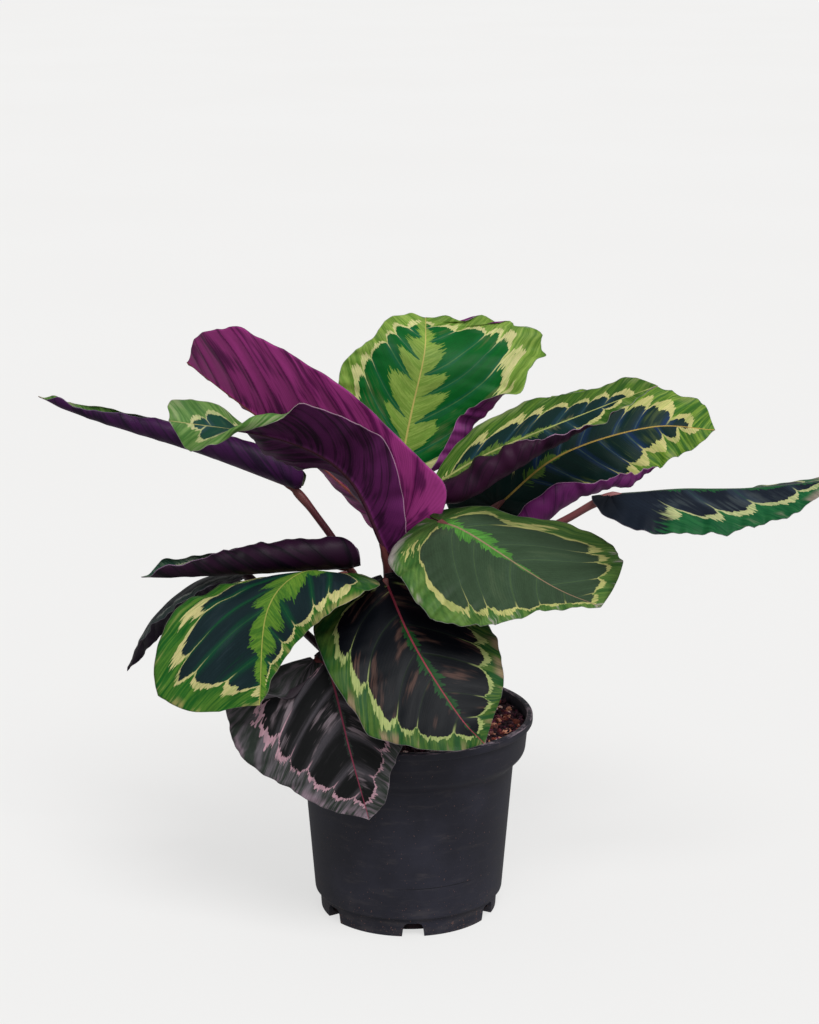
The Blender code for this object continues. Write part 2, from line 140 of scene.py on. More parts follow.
# How each blade departs from a smooth sheet. For each two values, the first is at the left of the rib.
# ruffle is the height of the waves at the margins and waves how many there are, scallop the depth of the bays
# between points of the margin, and pleat the height of the folds between side veins. spacing is the distance
# along the rib between two main side veins. swells are places where a margin stands out or in: the side,
# where along the rib, how long, how far in mm, and how far it is pushed towards the tip. roundness is how
# bluntly the base is rounded, hold how fast a curl fades where the blade narrows, and ridge how far the rib
# stands out below. lips are places where the strip along a margin is turned: side, where, how long, degrees,
# and the share of the width where it starts. lobe is how far the margin reaches back past the petiole.
Wear = namedtuple("Wear", "ruffle waves scallop pleat seed spacing swells roundness hold ridge lips lobe",
                  defaults=[VEIN_PITCH, (), BASE_ROUNDNESS, 1.7, 0.9, (), LOBE])
WEAR = {
    "far_left": Wear((0.8, 0.8), (6, 5), (0.8, 0.8), 0.3, 1, swells=((-1, 0.16, 0.18, 12, 0),
        (1, 0.16, 0.18, 12, 0), (-1, 0.94, 0.05, 14, 0), (1, 0.96, 0.03, 12, 0)), roundness=0.3, hold=0.7,
        lobe=0.02),
    "purple_back": Wear((1.2, 1.6), (4, 5), (1.0, 1.4), 1.1, 2, 19.0, ((-1, 0.48, 0.14, -5, 0),
        (-1, 0.28, 0.12, -7, 0), (-1, 0.05, 0.06, 10, -5), (1, 0.86, 0.1, 6, 3), (-1, 0.74, 0.03, 3, 0)),
        ridge=1.6),
    "curled_left": Wear((2.0, 1.8), (6, 5), (1.2, 1.2), 0.5, 3, 17.0, ((-1, 0.6, 0.03, 2, 0),
        (-1, 0.86, 0.05, 6, 0), (1, 0.97, 0.03, 4, 6), (-1, 0.18, 0.15, -6, 0), (-1, 0.5, 0.12, -3, 0),
        (1, 0.58, 0.16, 7, 0)), ridge=2.0, lips=((-1, 0.72, 0.09, -160, 0.72), (1, 0.56, 0.19, -24, 0.15))),
    "top": Wear((1.2, 2.0), (5, 6), (0.8, 3.2), 0.7, 4, 16.0, ((-1, 0.76, 0.15, -9, -2),
        (-1, 0.95, 0.06, -2, 3), (-1, 0.975, 0.02, 0, 6), (1, 0.88, 0.13, 0, 1), (1, 0.99, 0.005, 0, 6),
        (1, 0.975, 0.005, 0, -2), (1, 0.957, 0.01, 0, 6), (1, 0.942, 0.005, 0, -1), (1, 0.928, 0.008, 0, 4),
        (1, 0.87, 0.03, 6, 4), (1, 0.83, 0.03, 5, 0), (1, 0.78, 0.03, 6, 2), (1, 0.32, 0.24, -11, 0),
        (1, 0.67, 0.07, -6, 0)), lips=((1, 0.26, 0.34, 165, 0.66), (1, 0.94, 0.1, 16, 0.35))),
    "right_channelled": Wear((1.2, 2.6), (5, 6), (1.2, 1.8), 0.6, 5, 16.0, ((1, 0.55, 0.2, -6, 0),
        (1, 0.18, 0.16, 14, -2), (-1, 0.72, 0.15, -8, 0), (-1, 0.04, 0.1, -14, 0), (1, 0.14, 0.1, 10, 0)),
        hold=0.8, lips=((1, 0.15, 0.12, 45, 0.35),)),
    "upper_right": Wear((1.6, 2.2), (5, 6), (2.4, 1.8), 0.8, 6, 16.0, ((1, 0.72, 0.16, -11, 0),
        (1, 0.4, 0.14, -9, 0), (1, 0.08, 0.1, 8, -8), (-1, 0.84, 0.12, -9, 0), (-1, 0.62, 0.12, -9, 0),
        (1, 0.97, 0.02, 6, 0), (-1, 0.97, 0.02, 6, 0), (-1, 0.06, 0.05, 12, -6)), lobe=0.18,
        lips=((1, 0.62, 0.12, 110, 0.78),)),
    "far_right": Wear((1.0, 2.0), (4, 7), (1.0, 3.0), 0.6, 7, 26.0, ((1, 0.75, 0.1, 3, 0),
        (-1, 0.72, 0.08, 6, 0))),
    "centre_right": Wear((0.8, 1.8), (4, 7), (0.8, 2.6), 0.5, 8, 20.0, ((1, 0.1, 0.1, 6, -5),
        (-1, 0.26, 0.14, -10, 0), (1, 0.82, 0.13, -15, 0), (1, 0.42, 0.14, 8, 0), (1, 0.66, 0.13, 5, 0),
        (1, 0.38, 0.08, -3, 0), (1, 0.92, 0.05, -6, 0), (-1, 0.64, 0.1, 4, 0), (-1, 0.95, 0.04, 4, 0),
        (-1, 0.8, 0.12, 3, 3))),
    "front": Wear((1.0, 1.2), (4, 6), (0.8, 0.9), 0.7, 9, 22.0, ((1, 0.14, 0.12, 7, 0),
        (1, 0.71, 0.09, 6, 0), (1, 0.92, 0.05, -4, 0), (-1, 0.92, 0.05, 3, 0), (-1, 0.22, 0.1, -5, 0)),
        lobe=0.03),
    "left_front": Wear((0.8, 1.2), (4, 5), (0.8, 1.2), 0.8, 10, 20.0, ((1, 0.9, 0.1, 0, 8),
        (1, 0.965, 0.03, 0, 6), (1, 0.4, 0.12, -3, 0), (1, 0.16, 0.12, -8, 0), (-1, 0.72, 0.2, -12, 0),
        (-1, 0.34, 0.08, 2, 0), (-1, 0.9, 0.08, -5, 0))),
    "rolled_left": Wear((0.8, 0.8), (6, 5), (0.9, 0.9), 0.3, 11, swells=((-1, 0.9, 0.07, 8, 0),
        (1, 0.9, 0.07, 8, 0), (-1, 0.07, 0.07, 5, 0), (1, 0.07, 0.07, 5, 0)), roundness=0.3, hold=0.7,
        lobe=0.05),
    "drooping_left": Wear((1.4, 1.4), (5, 6), (1.1, 1.1), 0.5, 12),
    "hanging": Wear((1.6, 1.4), (5, 6), (1.3, 1.3), 0.9, 13, 20.0, ((1, 0.7, 0.18, -6, 0),
        (1, 0.05, 0.05, 9, -10), (1, 0.19, 0.07, 5, -7), (-1, 0.78, 0.16, -9, 0)),
        lips=((1, 0.03, 0.09, 78, 0.5),), lobe=0.03),
}

# The upper side: its colours as red, green and blue up to 255, and then the sizes of its pattern. band_at is
# where the pale band lies, 0 at the middle and 1 at the margin. flame_reach is how far the feathered stripe
# along the rib spreads, in mm. dark_base is the share at the base that is all of the centre's colour, teeth
# how jagged the band is, and left_shade how much painted shade darkens the half at the left of its rib.
Upper = namedtuple("Upper", "centre stripe streak margin margin_pale patch edge band flame rib "
                            "band_at band_width scallop flame_reach flame_from flame_to stripes streaks "
                            "patches lines thin_lines dark_base teeth left_shade",
                   defaults=[0.80, 0.040, 0.11, 12.0, 0.0, 0.9, 0.7, 0.25, 0.3, 0.8, 0.18, -1.0, 1.0, 0.0])
UPPER_COLOURS = 10
PATTERN_LENGTH = 110.0        # of the blade that the flame's start and end are shares of, mm
UPPER = {
    "top": Upper((2, 92, 32), (22, 90, 72), (120, 95, 70), (92, 132, 44), (138, 166, 74), (150, 165, 110),
        (150, 160, 150), (204, 200, 140), (140, 166, 76), (190, 176, 100), band_width=0.045,
        flame_reach=17.0, flame_from=-0.05, flame_to=0.95, stripes=0.5, patches=0.1),
    "right_channelled": Upper((12, 44, 42), (28, 62, 78), (90, 90, 60), (50, 92, 30), (92, 124, 44),
        (150, 150, 110), (160, 150, 155), (200, 194, 128), (110, 134, 60), (168, 172, 104), flame_reach=5.0,
        band_at=0.62, band_width=0.06, scallop=0.16, stripes=0.9, streaks=0.6),
    "upper_right": Upper((4, 38, 34), (20, 48, 84), (84, 98, 50), (54, 104, 30), (120, 152, 52),
        (160, 160, 100), (140, 140, 150), (196, 190, 122), (96, 120, 52), (180, 150, 74), flame_reach=9.0,
        band_at=0.66, band_width=0.075, flame_to=0.6, scallop=0.2, stripes=1.0, streaks=0.4, dark_base=0.2),
    "far_right": Upper((20, 28, 40), (46, 58, 72), (90, 100, 100), (10, 80, 44), (34, 98, 54),
        (178, 148, 144), (150, 140, 150), (182, 186, 132), (40, 86, 50), (84, 98, 88), flame_reach=3.0,
        band_at=0.68, band_width=0.045, scallop=0.2, patches=0.5, dark_base=0.26),
    "centre_right": Upper((54, 74, 52), (60, 80, 60), (92, 96, 70), (58, 100, 44), (94, 126, 58),
        (172, 156, 160), (150, 144, 150), (188, 186, 116), (84, 148, 60), (150, 124, 100), band_at=0.8,
        band_width=0.042, flame_reach=9.0, flame_from=-0.1, flame_to=0.62, streaks=0.1, patches=0.7,
        left_shade=0.5),
    "front": Upper((8, 12, 18), (24, 28, 32), (104, 76, 66), (28, 76, 32), (76, 106, 42), (156, 124, 104),
        (150, 140, 150), (160, 172, 106), (24, 66, 32), (150, 58, 74), band_width=0.03, scallop=0.14,
        flame_reach=4.0, flame_from=0.16, flame_to=0.95, streaks=0.5, patches=0.6, thin_lines=0.09,
        dark_base=0.1, teeth=1.2),
    "left_front": Upper((22, 40, 44), (14, 74, 46), (50, 60, 66), (26, 92, 30), (78, 122, 42),
        (196, 166, 116), (160, 150, 140), (204, 196, 134), (104, 146, 50), (166, 168, 84), band_width=0.045,
        scallop=0.14, flame_reach=13.0, flame_to=0.95, stripes=0.9, patches=0.4, thin_lines=0.1),
    "hanging": Upper((22, 23, 24), (84, 80, 86), (124, 112, 118), (50, 58, 52), (104, 98, 104),
        (140, 120, 132), (140, 130, 136), (190, 150, 162), (40, 48, 44), (132, 54, 76), band_at=0.7,
        band_width=0.03, flame_reach=2.0, scallop=0.13, streaks=0.9, patches=0.7, lines=1.0, thin_lines=0.05,
        teeth=1.7),
    "rolled_left": Upper((20, 44, 48), (70, 88, 90), (120, 130, 110), (34, 70, 58), (80, 104, 84),
        (150, 150, 140), (140, 130, 140), (170, 176, 150), (60, 90, 60), (100, 110, 90), flame_reach=3.0),
    "drooping_left": Upper((16, 24, 30), (34, 40, 48), (60, 60, 64), (24, 40, 40), (50, 60, 56),
        (130, 120, 130), (112, 104, 114), (100, 104, 100), (30, 50, 40), (70, 74, 70), flame_reach=3.0),
}
PLAIN_UPPER = Upper((24, 66, 52), (50, 76, 84), (90, 110, 70), (70, 114, 50), (110, 144, 76),
    (170, 160, 140), (176, 160, 166), (192, 192, 138), (106, 142, 70), (162, 158, 100), band_at=0.72)

# The underside: its ground, the darker main veins, the lighter bloom between them, partly its own colour and
# partly a painted highlight, the midrib and the margin, how much of the bloom shows, and how much more of it
# near the base.
Under = namedtuple("Under", "ground vein bloom rib edge bloom_share base_bloom", defaults=[0.0])
UNDER_COLOURS = 5
UNDER = {
    "hanging": Under((44, 38, 44), (26, 22, 26), (64, 56, 62), (96, 50, 66), (130, 118, 126), 0.5),
    "purple_back": Under((132, 38, 106), (66, 14, 62), (194, 72, 156), (150, 84, 62), (120, 60, 110), 0.6),
    "curled_left": Under((46, 14, 44), (16, 8, 18), (122, 40, 112), (56, 26, 32), (190, 150, 176), 0.28,
        0.45),
    "far_left": Under((48, 20, 56), (22, 14, 32), (78, 26, 84), (120, 66, 60), (110, 90, 120), 0.4),
    "top": Under((108, 38, 100), (66, 20, 66), (138, 56, 124), (140, 90, 80), (170, 130, 165), 0.5),
    "right_channelled": Under((38, 10, 34), (22, 6, 22), (62, 16, 52), (110, 60, 60), (180, 140, 170), 0.4),
    "upper_right": Under((84, 24, 80), (54, 14, 56), (116, 40, 108), (120, 70, 70), (180, 140, 170), 0.5),
    "rolled_left": Under((18, 8, 22), (8, 5, 12), (56, 16, 50), (84, 44, 52), (150, 120, 150), 0.4),
    "drooping_left": Under((28, 18, 36), (14, 10, 20), (48, 26, 56), (70, 44, 50), (90, 84, 100), 0.4),
}
PLAIN_UNDER = Under((84, 28, 74), (50, 16, 46), (112, 40, 98), (116, 66, 60), (150, 120, 145), 0.5)

# The petiole's colours near the soil, higher up, and on the swollen joint below the blade.
Petiole = namedtuple("Petiole", "low high joint")
PETIOLES = {
    "far_right": Petiole((70, 32, 42), (120, 66, 70), (146, 92, 92)),
    "curled_left": Petiole((46, 20, 30), (62, 24, 34), (92, 44, 44)),
    "drooping_left": Petiole((40, 22, 32), (52, 26, 38), (60, 36, 44)),
}
PLAIN_PETIOLE = Petiole((58, 26, 38), (86, 36, 46), (110, 62, 60))


def tint(red, green, blue):
    """A colour as its linear values, from how it is usually written, 0 to 255."""
    parts = []
    for value in (red, green, blue):
        share = value / 255.0
        parts.append(share / 12.92 if share <= 0.04045 else ((share + 0.055) / 1.055) ** 2.4)
    return (*parts, 1.0)


# ---------------------------------------------------------------- blades
def travelled(points):
    """How far along a line each of its points lies."""
    return np.concatenate([[0], np.cumsum(np.linalg.norm(np.diff(points, axis=0), axis=1))])


def read_off(where, places, rows):
    """Rows of three numbers, given at some places, read off at others."""
    return np.stack([np.interp(where, places, rows[:, axis]) for axis in range(3)], axis=1)


def smooth_route(points, count):
    """Count points, evenly spaced, on a Catmull-Rom curve through the given points."""
    knots = np.asarray(points, float)
    knots = np.vstack([2 * knots[0] - knots[1], knots, 2 * knots[-1] - knots[-2]])
    fine = []
    for a, b, c, d in zip(knots, knots[1:], knots[2:], knots[3:]):
        u = np.linspace(0, 1, ROUTE_STEPS, endpoint=False)[:, None]
        fine.append(0.5 * (2 * b + (c - a) * u + (2 * a - 5 * b + 4 * c - d) * u**2
                           + (3 * b - a - 3 * c + d) * u**3))
    fine = np.vstack(fine + [knots[-2:-1]])
    run = travelled(fine)
    return read_off(np.linspace(0, run[-1], count), run, fine)


def along(values, s):
    """A value that runs from base to tip through one, two or more given values."""
    values = np.atleast_1d(np.asarray(values, float))
    stops = np.linspace(0, 1, len(values)) if len(values) > 1 else [0.0]
    return np.interp(s, stops, values)


def unit(rows):
    return rows / np.linalg.norm(rows, axis=-1, keepdims=True)


def surface_normals(points):
    """The normals of a grid of points."""
    return unit(np.cross(np.gradient(points, axis=1), np.gradient(points, axis=0)))


def outline(s, widest, roundness):
    """Half-width of a blade as a share of its greatest, drawn to a point at the apex."""
    narrowing = roundness * (1 - widest) / widest
    share = (s / widest) ** roundness * ((1 - s) / (1 - widest)) ** narrowing
    return share * np.clip((1 - s) / APEX, 0, 1) ** APEX_SHARPNESS


def ripple(s, waves, chance):
    """Uneven waves along a margin, about -1 to 1, dying away at base and tip."""
    total = np.zeros_like(s)
    for order, weight in ((1.0, 0.6), (1.7, 0.35), (2.9, 0.25)):
        total += weight * np.sin(2 * math.pi * (waves * order * s + chance.random()))
    return total * np.sin(math.pi * np.clip(s, 0, 1)) ** 0.4


def nest(s, across, widest, roundness):
    """For each point, the scale at which the outline, shrunk on the rib's middle, passes through it."""
    low = np.full(across.shape, 1e-3)
    high = np.ones(across.shape)
    for _ in range(NEST_STEPS):
        middle = 0.5 * (low + high)
        away = (s - NEST_MIDDLE) / middle**NEST_LENGTHWISE
        room = np.where(s > NEST_MIDDLE, 1 - NEST_MIDDLE, NEST_MIDDLE)
        at = np.clip(NEST_MIDDLE + away, 1e-4, 1 - 1e-4)
        inside = (middle * outline(at, widest, roundness) > across) & (np.abs(away) < room)
        high = np.where(inside, middle, high)
        low = np.where(inside, low, middle)
    return high


def vein_place(x, y, width):
    """Where on the rib a flat point's side vein starts, in mm; below zero in the fan at the base."""
    lead = VEIN_SLANT * y + VEIN_BEND * y**2 / width
    turn = np.arctan2(y + 1e-6, x) - np.arctan2(y + 1e-6, lead)
    return np.where(x >= lead, x - lead, -FAN * turn)


def margin_distance(x, y):
    """Distance of every flat point from the margin, which is the last column."""
    return np.hypot(x[..., None] - x[:, -1], y[..., None] - y[:, -1]).min(axis=-1)


def half_blade(leaf, side, s, w, rib, ahead, above, length, chance):
    """One half of a blade, rib to margin: its points, their flat coordinates and how far waves lift them."""
    wear = WEAR[leaf.name]
    at = (side + 1) // 2
    width, widest = leaf.width[at], leaf.widest[at]
    fold, curl = (leaf.fold_left, leaf.curl_left) if side < 0 else (leaf.fold_right, leaf.curl_right)
    plain_reach = outline(s, widest, wear.roundness)
    reach = plain_reach
    forward = np.zeros_like(s)
    for which, place, spread, mm, push in wear.swells:
        if which == side:
            hump = np.exp(-((s - place) / spread) ** 2)
            reach = np.maximum(reach + hump * mm / width * np.clip(3 * reach, 0, 1), 0.02 * reach)
            forward += hump * push * np.clip(3 * reach, 0, 1)
    middle = 0.5 * (w[1:] + w[:-1])
    lean = np.radians(along(fold, s)[:, None]
                      + along(curl, s)[:, None] * reach[:, None] ** wear.hold * middle ** CURL_EASE)
    for which, place, spread, degrees, start in wear.lips:
        if which == side:
            strip_share = np.clip((middle - start) / LIP_BEND, 0, 1)
            lean += np.radians(degrees) * np.exp(-((s - place) / spread) ** 4)[:, None] * strip_share
    stride = width * reach[:, None] * np.diff(w)
    on_rib = np.zeros((len(s), 1))
    out = np.hstack([on_rib, np.cumsum(stride * np.cos(lean), axis=1)])
    up = np.hstack([on_rib, np.cumsum(stride * np.sin(lean), axis=1)])
    back = (wear.lobe * length * np.clip(1 - s / LOBE_END, 0, 1) ** 2 - forward)[:, None] * w**2
    right = np.cross(ahead, above)
    points = (rib[:, None] + side * out[..., None] * right[:, None] + up[..., None] * above[:, None]
              - back[..., None] * ahead[:, None])

    x = s[:, None] * length - back
    y = width * reach[:, None] * w
    vein = (vein_place(x, y, width) + 3.0 * side + wear.seed) * VEIN_PITCH / wear.spacing
    vein += 2.2 * np.sin(vein / 6.1 + wear.seed + side)
    ring = nest(s[:, None] + 0 * w, plain_reach[:, None] * w, widest, wear.roundness)

    outwards = unit(points[:, -1] - points[:, -3])
    cusp = np.abs(2 * np.mod(vein[:, -1] / VEIN_PITCH, 1) - 1) ** 1.6
    bays = wear.scallop[at] * (cusp - PLEAT_MIDDLE) * np.sin(math.pi * s) ** 0.5
    points += outwards[:, None] * bays[:, None, None] * (w**5)[None, :, None]
    wave = wear.ruffle[at] * ripple(s, wear.waves[at], chance)[:, None] * w**2.5
    fold_line = np.abs(np.sin(math.pi * vein / VEIN_PITCH))
    pleat = wear.pleat * (fold_line - PLEAT_MIDDLE) * np.clip(w * 4, 0, 1) * np.clip((1 - w) * 5, 0.25, 1)
    return {"points": points, "vein": vein, "out": y, "ring": ring, "edge": margin_distance(x, y),
            "lift": wave + pleat}


def blade_sheet(leaf):
    """The blade's middle surface on a grid, its normals, and the flat coordinates of every point."""
    chance = np.random.default_rng(WEAR[leaf.name].seed)
    s = 0.5 - 0.5 * np.cos(np.linspace(0.02, math.pi - 0.012, ROWS))
    w = np.linspace(0, 1, COLUMNS + 1) ** 1.25
    fine = smooth_route(leaf.rib, RIB_SAMPLES)
    place = np.linspace(0, 1, RIB_SAMPLES)
    rib = read_off(s, place, fine)
    ahead = unit(read_off(s, place, np.gradient(fine, axis=0)))
    upper = np.asarray(leaf.upper, float)
    above = np.stack([along(upper[:, axis], s) for axis in range(3)], axis=1)
    above = unit(above - (above * ahead).sum(axis=1)[:, None] * ahead)
    left, right = [half_blade(leaf, side, s, w, rib, ahead, above, travelled(fine)[-1], chance)
                   for side in (-1, 1)]
    grid = {key: np.concatenate([left[key][:, :0:-1], right[key]], axis=1) for key in left}
    grid["side"] = np.concatenate([-w[:0:-1], w])[None, :] + 0 * s[:, None]
    grid["along"] = s[:, None] + 0 * grid["side"]
    grid["points"] = grid["points"] + surface_normals(grid["points"]) * grid["lift"][..., None]
    grid["normal"] = surface_normals(grid["points"])
    return grid


def build_mesh(name, points, faces, materials, face_material, smooth=True):
    mesh = bpy.data.meshes.new(name)
    mesh.from_pydata(points, [], faces)
    for material in materials:
        mesh.materials.append(material)
    mesh.polygons.foreach_set("material_index", np.asarray(face_material, np.int32))
    mesh.polygons.foreach_set("use_smooth", np.full(len(mesh.polygons), smooth))
    mesh.update()
    item = bpy.data.objects.new(name, mesh)
    bpy.context.scene.collection.objects.link(item)
    return item


def add_vector(mesh, name, values):
    attribute = mesh.attributes.new(name, "FLOAT_VECTOR", "POINT")
    attribute.data.foreach_set("vector", np.ascontiguousarray(values, np.float32).ravel())


def make_blade(leaf):
    """A blade as a thin closed sheet, with a groove along the rib above and a ridge below."""
    grid = blade_sheet(leaf)
    rows, wide = grid["along"].shape
    half = THICKNESS / 2 * (1 - 0.6 * np.abs(grid["side"]) ** 8)
    bulge = np.exp(-(grid["out"] / RIB_SPREAD) ** 2) * (1 - grid["along"]) ** 0.6
    top = grid["points"] + grid["normal"] * (half - GROOVE * bulge)[..., None]
    bottom = grid["points"] - grid["normal"] * (half + WEAR[leaf.name].ridge * bulge)[..., None]
    points = np.concatenate([top.reshape(-1, 3), bottom.reshape(-1, 3)]) * MM
    count = rows * wide
    corner = (np.arange(rows - 1)[:, None] * wide + np.arange(wide - 1)).ravel()
    # columns run to the right and rows towards the tip, so in this order every face looks outwards
    upper = np.stack([corner, corner + 1, corner + 1 + wide, corner + wide], axis=1)
    lower = upper[:, [0, 3, 2, 1]] + count
    loop = np.concatenate([np.arange(wide), np.arange(1, rows) * wide + wide - 1,
                           (rows - 1) * wide + np.arange(wide - 2, -1, -1),
                           np.arange(rows - 2, 0, -1) * wide])
    after = np.roll(loop, -1)
    rim = np.stack([loop + count, after + count, after, loop], axis=1)
    faces = np.concatenate([upper, lower, rim])
    kind = np.concatenate([np.zeros(len(upper)), np.ones(len(lower)), np.zeros(len(rim))])
    item = build_mesh(f"{leaf.name}_blade", points.tolist(), faces.tolist(),
                      [upper_material(leaf.name), under_material(leaf.name)], kind)
    for name, keys in (("blade", ("ring", "side", "along")), ("veins", ("vein", "out", "edge"))):
        add_vector(item.data, name, np.stack([np.tile(grid[key].ravel(), 2) for key in keys], axis=1))
    # flat layout: the upper side on the left half of the sheet, the underside on the right half
    sheet = np.stack([0.25 + 0.235 * grid["side"].ravel(), 0.01 + 0.98 * grid["along"].ravel()], axis=1)
    flat = np.concatenate([sheet, sheet + (0.5, 0.0)])
    layer = item.data.uv_layers.new(name="OFBake")
    corners = np.empty(len(item.data.loops), np.int32)
    item.data.loops.foreach_get("vertex_index", corners)
    layer.uv.foreach_set("vector", flat[corners].astype(np.float32).ravel())
    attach(item, "root")
    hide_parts(f"leaf_{leaf.name}")
    return grid


# ---------------------------------------------------------------- shader helpers
class Wire:
    """A value that runs between nodes; arithmetic on it adds Math nodes."""

    def __init__(self, board, socket):
        self.board = board
        self.socket = socket

    def __add__(self, other):
        return self.board.math("ADD", self, other)

    def __sub__(self, other):
        return self.board.math("SUBTRACT", self, other)

    def __rsub__(self, other):
        return self.board.math("SUBTRACT", other, self)

    def __mul__(self, other):
        return self.board.math("MULTIPLY", self, other)

    def __truediv__(self, other):
        return self.board.math("DIVIDE", self, other)

    def __pow__(self, other):
        return self.board.math("POWER", self, other)

    def __abs__(self):
        return self.board.math("ABSOLUTE", self)


class Board:
    """A node tree with short ways to place and join its nodes."""

    def __init__(self, tree):
        self.tree = tree
        self.made = 0

    def node(self, kind, **settings):
        item = self.tree.nodes.new(kind)
        item.location = (180 * (self.made % 12), -160 * (self.made // 12))
        self.made += 1
        for key, value in settings.items():
            setattr(item, key, value)
        return item

    def put(self, socket, value):
        if isinstance(value, Wire):
            self.tree.links.new(value.socket, socket)
        else:
            socket.default_value = value

    def place(self, kind, inputs, output, **settings):
        """A node with values or wires in the named or numbered inputs; gives the wire from one output."""
        item = self.node(kind, **settings)
        for key, value in inputs.items():
            self.put(item.inputs[key], value)
        return Wire(self, item.outputs[output])

    def math(self, operation, a, b=0.0, c=0.0):
        return self.place("ShaderNodeMath", {0: a, 1: b, 2: c}, 0, operation=operation)

    def ramp(self, value, low, high):
        """0 at low, 1 at high, smooth between; low may be the greater."""
        return self.place("ShaderNodeMapRange", {"Value": value, "From Min": low, "From Max": high}, "Result",
                          interpolation_type="SMOOTHSTEP")

    def mix(self, share, a, b):
        return self.place("ShaderNodeMix", {0: share, 6: a, 7: b}, 2, data_type="RGBA")

    def dim(self, colour, share):
        """A colour made darker or lighter."""
        return self.place("ShaderNodeVectorMath", {0: colour, "Scale": share}, 0, operation="SCALE")

    def vector(self, x, y, z=0.0):
        return self.place("ShaderNodeCombineXYZ", {0: x, 1: y, 2: z}, 0)

    def noise(self, vector, scale, detail, roughness):
        return self.place("ShaderNodeTexNoise", {"Vector": vector, "Scale": scale, "Detail": detail,
                                                 "Roughness": roughness}, "Fac")

    def split(self, vector):
        item = self.node("ShaderNodeSeparateXYZ")
        self.put(item.inputs[0], vector)
        return [Wire(self, socket) for socket in item.outputs]

    def attribute(self, name):
        return self.place("ShaderNodeAttribute", {}, "Vector", attribute_name=name)

    def position(self):
        return self.place("ShaderNodeNewGeometry", {}, "Position")

    def camera_ray(self):
        return self.place("ShaderNodeLightPath", {}, "Is Camera Ray")

    def relief(self, shader, height, distance, strength):
        bump = self.place("ShaderNodeBump", {"Height": height, "Distance": distance, "Strength": strength},
                          "Normal")
        self.put(shader.inputs["Normal"], bump)


def swing(wire, amount):
    """A factor that sways round 1 as the wire sways round a half."""
    return (wire - 0.5) * amount + 1.0


def label(field):
    """A field's name as it stands on a group's socket."""
    return field.replace("_", " ").title()


def new_group(name, colours, amounts, outputs):
    """A node group with these named sockets, its board, its incoming wires and its outgoing sockets."""
    tree = bpy.data.node_groups.new(name, "ShaderNodeTree")
    for names, kind in ((colours, "NodeSocketColor"), (amounts, "NodeSocketFloat")):
        for each in names:
            tree.interface.new_socket(label(each), in_out="INPUT", socket_type=kind)
    for each in outputs:
        kind = "NodeSocketColor" if each == "Color" else "NodeSocketFloat"
        tree.interface.new_socket(each, in_out="OUTPUT", socket_type=kind)
    board = Board(tree)
    given = {socket.name: Wire(board, socket) for socket in board.node("NodeGroupInput").outputs}
    return tree, board, given, board.node("NodeGroupOutput").inputs


SKIN_OUTPUTS = ["Color", "Roughness", "Height"]


def strokes_group():
    """Noise drawn out along the side veins: fine teeth, broad strokes and slow drift; and the veins."""
    tree, b, given, result = new_group("vein strokes", [], ["seed"],
                                       ["Teeth", "Strokes", "Drift", "Vein Line", "Fine Veins", "Arch"])
    vein, out, _ = b.split(b.attribute("veins"))
    seed = given["Seed"]
    b.put(result["Teeth"], b.noise(b.vector(vein * 0.95, out * 0.11, seed), 1.0, 2.0, 0.62))
    b.put(result["Strokes"], b.noise(b.vector(vein * 0.42, out * 0.045, seed + 7.3), 1.0, 3.0, 0.6))
    b.put(result["Drift"], b.noise(b.vector(vein * 0.075, out * 0.05, seed + 3.1), 1.0, 2.0, 0.5))
    away = abs(b.math("FRACT", vein / VEIN_PITCH) * 2.0 - 1.0)      # 1 on a main vein, 0 midway
    b.put(result["Vein Line"], b.ramp((1.0 - away) * (VEIN_PITCH / 2), 0.55, 0.1))
    b.put(result["Fine Veins"], b.math("SINE", vein * (2 * math.pi / FINE_PITCH)) * 0.5 + 0.5)
    b.put(result["Arch"], 1.0 - away**2.6)
    return tree


STROKES = strokes_group()


def blade_wires(b, seed):
    """What both sides are painted by: the six stroke wires, then ring, side, along, vein, out and edge."""
    strokes = b.node("ShaderNodeGroup", node_tree=STROKES)
    b.put(strokes.inputs["Seed"], seed)
    drawn = [Wire(b, socket) for socket in strokes.outputs]
    return drawn + b.split(b.attribute("blade")) + b.split(b.attribute("veins"))


